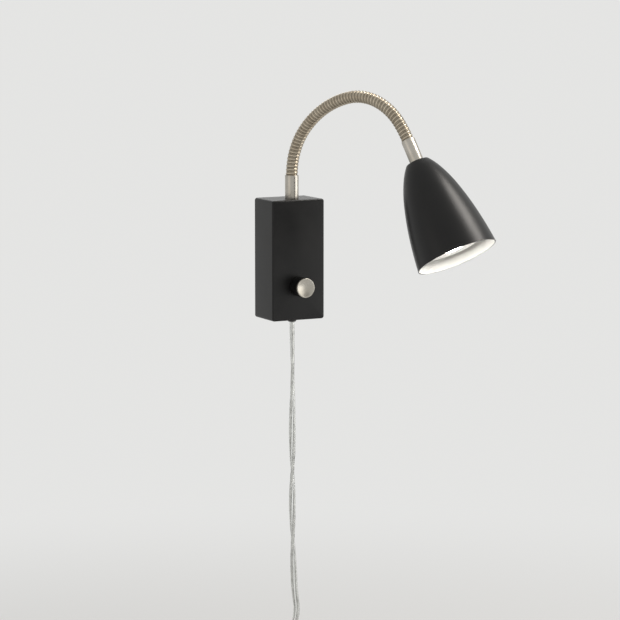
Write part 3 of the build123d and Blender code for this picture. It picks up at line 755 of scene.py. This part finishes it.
def bake_nodes(piece, tree, **values):
    """Runs a geometry node tree on a piece with these values, and leaves the piece a plain mesh."""
    maker = piece.modifiers.new("maker", "NODES")
    maker.node_group = tree
    for item in tree.interface.items_tree:
        key = item.name.replace(" ", "_")
        if key in values:
            maker[item.identifier] = values[key]
    bpy.context.view_layer.update()
    seen = piece.evaluated_get(bpy.context.evaluated_depsgraph_get())
    made = bpy.data.meshes.new_from_object(seen)
    piece.modifiers.remove(maker)
    piece.data = made
    shell = bmesh.new()
    shell.from_mesh(made)
    bmesh.ops.recalc_face_normals(shell, faces=shell.faces)
    shell.to_mesh(made)
    shell.free()
    made.shade_smooth()
    made.set_sharp_from_angle(angle=math.radians(60))


shank_length = 0.0065
shank_radius = 0.0015
head_radius = 0.0028
head_height = 0.0018
screw_outline = rounded(
    [
        (0.0, -shank_length),
        (shank_radius, -shank_length),
        (shank_radius, 0.0),
        (head_radius, 0.0),
        (head_radius, head_height),
        (0.0, head_height),
    ],
    radii=[0, 0.0003, 0, 0.0001, 0.0009, 0],
)
screw_blank = lathe("screw_blank", screw_outline, (0, 0, 0), plug_down, (1, 0, 0), around=48)
screw_seats = [(-0.018, -0.007, -0.0575), (0.018, -0.007, -0.0575)]
seat_mesh = bpy.data.meshes.new("cover_screw_pair")
seat_mesh.from_pydata(screw_seats, [], [])
cover_screw_pair = add_object("cover_screw_pair", seat_mesh)
bake_nodes(
    cover_screw_pair,
    screw_set_tree(),
    Screw=screw_blank,
    Head_Height=head_height,
    Recess_Length=0.0030,
    Recess_Width=0.0007,
    Recess_Depth=0.0010,
    Metal=blackened,
)
bpy.data.objects.remove(screw_blank)
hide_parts("cover_screws")
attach(cover_screw_pair, "base")

# ------------------------------------------------------------------ parts inside the box
# Moulded dimmer on the front wall, terminal block pegged to the plate and clamp round the lead, with
# the insulated wires that run between them and up into the neck.
brown_wire = new_material("brown_wire", (0.16, 0.07, 0.03), roughness=0.35)
add_fine_surface(
    brown_wire, (0.17, 0.075, 0.035), (0.11, 0.05, 0.025), fine=600.0, smooth=0.28, rough=0.42
)
white_wire = new_material("white_wire", (0.75, 0.75, 0.72), roughness=0.35)
add_fine_surface(
    white_wire, (0.76, 0.76, 0.73), (0.66, 0.65, 0.6), fine=600.0, smooth=0.28, rough=0.42
)
for names, material in (
    (("dimmer_body",), black_moulding),
    (("terminal_block", "cord_clamp"), white_moulding),
    (("supply_cores", "dimmer_cores"), brown_wire),
    (("lamp_cores", "head_cores"), white_wire),
    (("supply_cord_end",), clear_pvc),
):
    for node in names:
        dress(node, material)

# ------------------------------------------------------------------ cord bush
# Soft black moulded bush pressed into the hole in the box's floor, its lip rounded where the lead
# comes out through a slot.
cad_copy("cord_bush_moulding", "cord_bush", "base", black_moulding, sharp=40.0)

# ------------------------------------------------------------------ knob
# Turned knob pushed on the dimmer's shaft: a black barrel, and a face of satin metal that is dished
# inside a thin flat rim.
knob_place = Vector((0.0, -0.038, -0.025))
knob_out = Vector((0, -1, 0))
knob_side = Vector((1, 0, 0))
knob_start = 0.0006
knob_end = 0.0156
knob_radius = 0.00925
knob_hollow_radius = 0.0070
knob_hollow_end = 0.0058
shaft_hole_radius = 0.00202
cap_start = knob_end - 0.0024

satin_nickel = new_material("satin_nickel", (0.60, 0.56, 0.50), metallic=1.0, roughness=0.3)
add_fine_surface(
    satin_nickel,
    (0.47, 0.445, 0.40),
    (0.38, 0.355, 0.305),
    broad=70.0,
    fine=1800.0,
    smooth=0.22,
    rough=0.36,
    relief=0.000008,
)
barrel = rounded(
    [
        (knob_hollow_radius, knob_start),
        (knob_radius, knob_start),
        (knob_radius, cap_start),
        (shaft_hole_radius, cap_start),
        (shaft_hole_radius, knob_hollow_end),
        (knob_hollow_radius, knob_hollow_end),
    ],
    radii=[0.0002, 0.0003, 0, 0, 0, 0],
)
knob_barrel = lathe("knob_barrel", barrel, knob_place, knob_out, knob_side, around=128)
rim_width = 0.0010
rim_round = 0.00033
rim_start = cap_start + 0.0005
dish_depth = 0.0012
dish_steps = 12
cap_seam = 0.00001
rim_inside = knob_radius - rim_width
face = [(0.0, cap_start + cap_seam), (knob_radius, cap_start + cap_seam)]
face += rounded(
    [(knob_radius, rim_start), (knob_radius, knob_end), (rim_inside, knob_end)],
    radii=[0, rim_round, 0],
)
for step in range(1, dish_steps + 1):
    part = step / dish_steps
    face.append((rim_inside * (1 - part), knob_end - dish_depth * (1 - (1 - part) ** 2)))
knob_face = lathe("knob_face", face, knob_place, knob_out, knob_side, around=128)
fit(knob_barrel, "dimmer_knob", "knob", satin_black)
fit(knob_face, "knob_cap", "knob", satin_nickel)

# ------------------------------------------------------------------ gooseneck
# Wound metal hose in satin nickel: a round wire in a close coil, and a thinner wire that lies in its
# groove. It is in thirteen stretches, each over one joint, with the lead inside it.
ferrule_length = 0.0225
box_top = Vector((0.0, -0.024, 0.0575))
up = Vector((0, 0, 1))
neck_foot = box_top + up * ferrule_length
neck_bends = [(0.069, 42.0), (0.096, 36.5), (0.061, 65.0), (0.117, 7.5)]
neck_heading = math.radians(67.0)
neck_out = Vector((math.cos(neck_heading), -math.sin(neck_heading), 0))
neck_side = up.cross(neck_out)
neck_total = sum(radius * math.radians(degrees) for radius, degrees in neck_bends)
neck_lengths = 14
turns_per_length = 4
length_step = neck_total / neck_lengths
wire_pitch = length_step / turns_per_length
points_per_turn = 26
seat_reach = 0.0038
hose_radius = 0.00585


def neck_at(station):
    """The centre line's point and direction a distance along the neck from the base ferrule."""
    along, risen, angle, left = 0.0, 0.0, 0.0, max(station, 0.0)
    for radius, degrees in neck_bends:
        turn = min(left / radius, math.radians(degrees))
        along += radius * (math.cos(angle) - math.cos(angle + turn))
        risen += radius * (math.sin(angle + turn) - math.sin(angle))
        angle += turn
        left -= radius * turn
    beyond = left if station > 0 else station
    tangent = neck_out * math.sin(angle) + up * math.cos(angle)
    return neck_foot + neck_out * along + up * risen + tangent * beyond, tangent


def wound_hose_tree():
    """Winds two wires round the line it is given, closer in where the line runs inside a ferrule."""
    tree, given, result = new_group(
        "wound_hose",
        "GeometryNodeTree",
        {
            "Centre Line": "Geometry",
            "Hose Radius": "Float",
            "Pitch": "Float",
            "Wire Radius": "Float",
            "Filler Radius": "Float",
            "Filler Depth": "Float",
            "Hose Length": "Float",
            "Seat Depth": "Float",
            "Seat Slope": "Float",
            "Side": "Vector",
            "Metal": "Material",
        },
        {"Hose": "Geometry"},
    )

    def add(kind, inputs=(), **settings):
        return add_node(tree, kind, inputs, **settings).outputs

    def number(operation, first, second=0.0):
        return add("ShaderNodeMath", {0: first, 1: second}, operation=operation)[0]

    def vector(operation, inputs):
        return add("ShaderNodeVectorMath", inputs, operation=operation)[0]

    def stored(name, kind):
        return add("GeometryNodeInputNamedAttribute", {"Name": name}, data_type=kind)["Attribute"]

    line = add("GeometryNodeMeshToCurve", {"Mesh": given["Centre Line"]})
    station, along = stored("station", "FLOAT"), stored("along", "FLOAT_VECTOR")
    other = vector("CROSS_PRODUCT", {0: along, 1: given["Side"]})
    middle = number("MULTIPLY", given["Hose Length"], 0.5)
    outside = number("SUBTRACT", number("ABSOLUTE", number("SUBTRACT", station, middle)), middle)
    inside_ferrule = number("DIVIDE", outside, given["Seat Slope"])
    inside_ferrule = number("MINIMUM", number("MAXIMUM", inside_ferrule, 0.0), 1.0)
    seated = number("MULTIPLY", inside_ferrule, given["Seat Depth"])
    outer = number("SUBTRACT", given["Hose Radius"], seated)
    turns = number("DIVIDE", station, given["Pitch"])
    joined = add_node(tree, "GeometryNodeJoinGeometry")
    for wire, top, phase in (
        (given["Wire Radius"], outer, 0.0),
        (given["Filler Radius"], number("SUBTRACT", outer, given["Filler Depth"]), 0.5),
    ):
        angle = number("MULTIPLY", number("ADD", turns, phase), 2 * math.pi)
        towards = vector("SCALE", {0: given["Side"], "Scale": number("COSINE", angle)})
        across = vector("SCALE", {0: other, "Scale": number("SINE", angle)})
        direction = vector("ADD", {0: towards, 1: across})
        offset = vector("SCALE", {0: direction, "Scale": number("SUBTRACT", top, wire)})
        wound = add("GeometryNodeSetPosition", {"Geometry": line["Curve"], "Offset": offset})
        section = add("GeometryNodeCurvePrimitiveCircle", {"Resolution": 12, "Radius": wire})
        drawn = add(
            "GeometryNodeCurveToMesh",
            {"Curve": wound["Geometry"], "Profile Curve": section["Curve"], "Fill Caps": True},
        )
        tree.links.new(drawn["Mesh"], joined.inputs["Geometry"])
    end_in_metal(tree, joined.outputs["Geometry"], given["Metal"], result["Hose"])
    return tree


hose_metal = new_material("hose_metal", (0.6, 0.53, 0.43), metallic=1.0, roughness=0.28)
add_fine_surface(
    hose_metal,
    (0.46, 0.405, 0.32),
    (0.36, 0.305, 0.23),
    broad=110.0,
    fine=2000.0,
    smooth=0.2,
    rough=0.34,
    relief=0.000006,
)
# Painted shade: the metal's colour is darkened down in the grooves between the turns, where shade
# falls.
groove_shade_colour = (0.05, 0.04, 0.028)
groove_start, groove_full = 0.0001, 0.0009
tree = hose_metal.node_tree
base_colour = tree.nodes["Principled BSDF"].inputs["Base Color"]
depth = add_node(tree, "ShaderNodeAttribute", attribute_name="groove_depth").outputs["Fac"]
painted_groove_shade = add_node(
    tree,
    "ShaderNodeMapRange",
    {"Value": depth, "From Min": groove_start, "From Max": groove_full},
    interpolation_type="SMOOTHSTEP",
).outputs["Result"]
toned = add_node(
    tree,
    "ShaderNodeMix",
    {"Factor": painted_groove_shade, "A": base_colour.links[0].from_socket, "B": (*groove_shade_colour, 1)},
    data_type="RGBA",
)
tree.links.new(toned.outputs["Result"], base_colour)

wound_hose = wound_hose_tree()
lead_radius = 0.0024
lead_around = 20
lead_row = 0.0012
lead_beyond = ferrule_length + 0.010
for number in range(1, neck_lengths):
    first, last = number == 1, number == neck_lengths - 1
    joint_start, joint_end = (number - 0.5) * length_step, (number + 0.5) * length_step
    start = -seat_reach if first else joint_start
    end = neck_total + seat_reach if last else joint_end
    count = round((end - start) / wire_pitch * points_per_turn) + 1
    stations = [start + (end - start) * step / (count - 1) for step in range(count)]
    centre = bpy.data.meshes.new(f"neck_hose_{number:02d}")
    centre.from_pydata(
        [tuple(neck_at(station)[0]) for station in stations],
        [(step, step + 1) for step in range(count - 1)],
        [],
    )
    centre.attributes.new("station", "FLOAT", "POINT").data.foreach_set("value", stations)
    directions = [value for station in stations for value in neck_at(station)[1]]
    centre.attributes.new("along", "FLOAT_VECTOR", "POINT").data.foreach_set("vector", directions)
    hose = add_object(f"neck_hose_{number:02d}", centre)
    bake_nodes(
        hose,
        wound_hose,
        Hose_Radius=hose_radius,
        Pitch=wire_pitch,
        Wire_Radius=0.00145,
        Filler_Radius=0.00078,
        Filler_Depth=0.00036,
        Hose_Length=neck_total,
        Seat_Depth=0.00075,
        Seat_Slope=0.0004,
        Side=neck_side,
        Metal=hose_metal,
    )
    depths = [
        max(hose_radius - (vertex.co - neck_at(station.value)[0]).length, 0.0)
        for vertex, station in zip(hose.data.vertices, hose.data.attributes["station"].data)
    ]
    hose.data.attributes.new("groove_depth", "FLOAT", "POINT").data.foreach_set("value", depths)
    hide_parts(f"neck_length_{number:02d}")
    if last:
        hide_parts(f"neck_length_{neck_lengths:02d}")
    start = -lead_beyond if first else joint_start
    end = neck_total + lead_beyond if last else joint_end
    rows = round((end - start) / lead_row)
    vertices = []
    for row in range(rows):
        point, tangent = neck_at(start + (end - start) * row / (rows - 1))
        other = tangent.cross(neck_side)
        for step in range(lead_around):
            angle = 2 * math.pi * step / lead_around
            outward = neck_side * math.cos(angle) + other * math.sin(angle)
            vertices.append(point + outward * lead_radius)
    lead = link_mesh(f"neck_lead_{number:02d}", vertices, ring_faces(rows, lead_around))
    lead.data.materials.append(white_wire)
    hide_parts("neck_cable")
    for piece in (hose, lead):
        neck_at(joint_start)[0]
        neck_at(joint_end)[0]
        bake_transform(piece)

# ------------------------------------------------------------------ ferrules
# Two turned ferrules in the same satin nickel, one on the box and one on the shade, with a softly
# broken edge and a shallow recess that takes the hose.
ferrule_radius = 0.0065
stud_radius = 0.0049
stud_length = 0.0100
bore_radius = 0.0030
recess_radius = 0.0053
recess_floor = ferrule_length - 0.0040
ferrule_outline = rounded(
    [
        (bore_radius, -stud_length),
        (stud_radius, -stud_length),
        (stud_radius, 0.0),
        (ferrule_radius, 0.0),
        (ferrule_radius, ferrule_length),
        (recess_radius, ferrule_length),
        (recess_radius, recess_floor),
        (bore_radius, recess_floor),
    ],
    radii=[0, 0, 0, 0.0003, 0.0006, 0.0002, 0, 0],
)
head_place, head_axis = neck_at(neck_total + ferrule_length)
for end, place, axis in (("base", box_top, up), ("head", head_place, -head_axis)):
    ferrule = lathe(f"{end}_ferrule_turned", ferrule_outline, place, axis, neck_side)
    fit(ferrule, f"{end}_ferrule", end, satin_nickel)

# ------------------------------------------------------------------ shade
# Spun steel shade, satin black outside and white inside, with its thin lip rolled smooth. The head
# ferrule's nut clamps its crown.
shade_length = 0.0955
shade = cad_copy("shade_spinning", "lamp_shade", "head", satin_black, sharp=40.0)
white_paint = new_material("white_paint", (0.88, 0.88, 0.86), roughness=0.4)
add_fine_surface(
    white_paint, (0.89, 0.89, 0.87), (0.84, 0.83, 0.8), fine=1200.0, smooth=0.35, rough=0.5
)
shade.data.materials.append(white_paint)
# A face is inside where it looks towards the shade's axis, or down the shade above its lip.
towards_axis, down_shade, lip_start = -0.05, 0.7, 0.09
for face in shade.data.polygons:
    away = face.center - head_place
    reach = away.dot(head_axis)
    across = (away - head_axis * reach).normalized()
    under_crown = face.normal.dot(head_axis) > down_shade and reach < lip_start
    if face.normal.dot(across) < towards_axis or under_crown:
        face.material_index = 1

# ------------------------------------------------------------------ lamp and holder
# Reflector lamp plugged into its ceramic holder: a white housing, and a frosted front that is
# brightest in the middle, where the light comes out.
ceramic = new_material("ceramic", (0.85, 0.84, 0.8), roughness=0.25, Coat_Weight=0.5)
add_fine_surface(
    ceramic, (0.86, 0.85, 0.81), (0.78, 0.76, 0.7), fine=500.0, smooth=0.15, rough=0.3
)
lamp_white = new_material("lamp_white", (0.8, 0.8, 0.79), roughness=0.35)
add_fine_surface(lamp_white, (0.8, 0.8, 0.79), (0.72, 0.72, 0.7), fine=900.0)
lamp_light = (1.0, 0.97, 0.92, 1.0)
frosted_ring = new_material(
    "frosted_ring",
    (0.93, 0.92, 0.89),
    roughness=0.4,
    Emission_Color=lamp_light,
    Emission_Strength=0.2,
)
add_fine_surface(frosted_ring, (0.93, 0.92, 0.89), (0.88, 0.87, 0.83), fine=1400.0, rough=0.5)
bright_lens = new_material(
    "bright_lens",
    (0.97, 0.96, 0.94),
    roughness=0.25,
    Emission_Color=lamp_light,
    Emission_Strength=38.0,
)
add_fine_surface(
    bright_lens, (0.97, 0.96, 0.94), (0.95, 0.93, 0.9), fine=1400.0, smooth=0.2, rough=0.35
)
dress("lampholder", ceramic)
dress("lamp_pins", nickel)
cad_copy("lamp_housing", "lamp_body", "head", lamp_white, sharp=40.0)
lamp_front = shade_length - 0.0080
lens_back = lamp_front - 0.0020
lens_seat = lens_back + 0.0005
lens_crown = 0.0006
lens_steps = 8
ring_radius = 0.0232
bright_radius = 0.0118
groove_radius = bright_radius + 0.0005
ring_outline = rounded(
    [
        (0.0, lens_back),
        (ring_radius, lens_back),
        (ring_radius, lamp_front),
        (groove_radius, lamp_front - lens_crown),
        (groove_radius, lens_seat),
        (0.0, lens_seat),
    ],
    radii=[0, 0, 0.0003, 0.0002, 0, 0],
)
lens_outline = [(0.0, lens_seat), (bright_radius, lens_seat)]
for step in range(lens_steps + 1):
    inward = 1 - step / lens_steps
    lens_outline.append((bright_radius * inward, lamp_front - lens_crown * inward**2))
for name, outline, material in (
    ("lamp_ring", ring_outline, frosted_ring),
    ("lamp_bright_lens", lens_outline, bright_lens),
):
    front = lathe(name, outline, head_place, head_axis, neck_side)
    fit(front, "lamp_lens", "head", material)

# ------------------------------------------------------------------ floor and lights
# Pale floor below the lamp that runs out into the pale surround, a large soft lamp high on the
# right, where the photograph's highlights come from, and three weaker ones round it.
pale = (0.78, 0.78, 0.77)
floor_height = -0.56
floor_radius = 6.0
floor_sides = 64
fade_start, fade_end = 0.7, 1.6


def straight_rays(tree):
    """One where a ray comes from the camera, or from it by way of a gloss or through clear material."""
    rays = add_node(tree, "ShaderNodeLightPath").outputs
    counted = rays["Is Camera Ray"]
    for kind in ("Is Glossy Ray", "Is Transmission Ray"):
        either = add_node(tree, "ShaderNodeMath", {0: counted, 1: rays[kind]}, operation="MAXIMUM")
        counted = either.outputs[0]
    return counted


corners = [2 * math.pi * step / floor_sides for step in range(floor_sides)]
floor = link_mesh(
    "floor",
    [(floor_radius * math.cos(a), floor_radius * math.sin(a), floor_height) for a in corners],
    [tuple(range(floor_sides))],
)
floor_paint = new_material("floor_paint", (0.8, 0.8, 0.79), roughness=0.8)
tree = floor_paint.node_tree
place = add_node(tree, "ShaderNodeTexCoord").outputs["Object"]
distance = add_node(tree, "ShaderNodeVectorMath", {0: place}, operation="LENGTH").outputs["Value"]
far = add_node(
    tree,
    "ShaderNodeMapRange",
    {"Value": distance, "From Min": fade_start, "From Max": fade_end, "To Min": 0.5, "To Max": 1.0},
    interpolation_type="SMOOTHSTEP",
).outputs["Result"]
share = add_node(tree, "ShaderNodeMath", {0: straight_rays(tree), 1: far}, operation="MULTIPLY")
plain = add_node(tree, "ShaderNodeEmission", {"Color": (*pale, 1)})
painted = tree.nodes["Principled BSDF"]
blended = add_node(
    tree, "ShaderNodeMixShader", {0: share.outputs[0], 1: painted.outputs[0], 2: plain.outputs[0]}
)
# From below the floor is clear, so that views from there show the lamp's underside.
below = add_node(tree, "ShaderNodeNewGeometry").outputs["Backfacing"]
clear = add_node(tree, "ShaderNodeBsdfTransparent")
one_sided = add_node(
    tree, "ShaderNodeMixShader", {0: below, 1: blended.outputs[0], 2: clear.outputs[0]}
)
tree.links.new(one_sided.outputs[0], tree.nodes["Material Output"].inputs["Surface"])
floor.data.materials.append(floor_paint)
if floor.data.polygons[0].normal.z < 0:
    floor.data.flip_normals()

world = bpy.data.worlds.new("surround")
scene.world = world
world.use_nodes = True
tree = world.node_tree
lit = tree.nodes["Background"]
lit.inputs["Color"].default_value = (1.0, 0.97, 0.94, 1)
lit.inputs["Strength"].default_value = 0.2
seen = add_node(tree, "ShaderNodeBackground", {"Color": (*pale, 1)})
mixed = add_node(
    tree, "ShaderNodeMixShader", {0: straight_rays(tree), 1: lit.outputs[0], 2: seen.outputs[0]}
)
tree.links.new(mixed.outputs[0], tree.nodes["World Output"].inputs["Surface"])

light_aim = Vector((0.03, -0.05, -0.05))
for name, place, size, power, colour in (
    ("key", (1.28, -0.74, 1.63), 0.9, 34.0, (1.0, 0.95, 0.89)),
    ("side", (1.75, -1.2, -0.15), 1.6, 15.0, (1.0, 0.98, 0.95)),
    ("fill", (-2.1, -0.7, 0.0), 1.6, 3.0, (1.0, 0.9, 0.8)),
    ("rim", (0.6, 1.4, 1.2), 0.9, 5.0, (1.0, 1.0, 1.0)),
):
    light = add_object(name, bpy.data.lights.new(name, "AREA"))
    light.data.size = size
    light.data.energy = power
    light.data.color = colour
    light.location = place
    light.rotation_mode = "QUATERNION"
    light.rotation_quaternion = (light_aim - Vector(place)).to_track_quat("-Z", "Y")
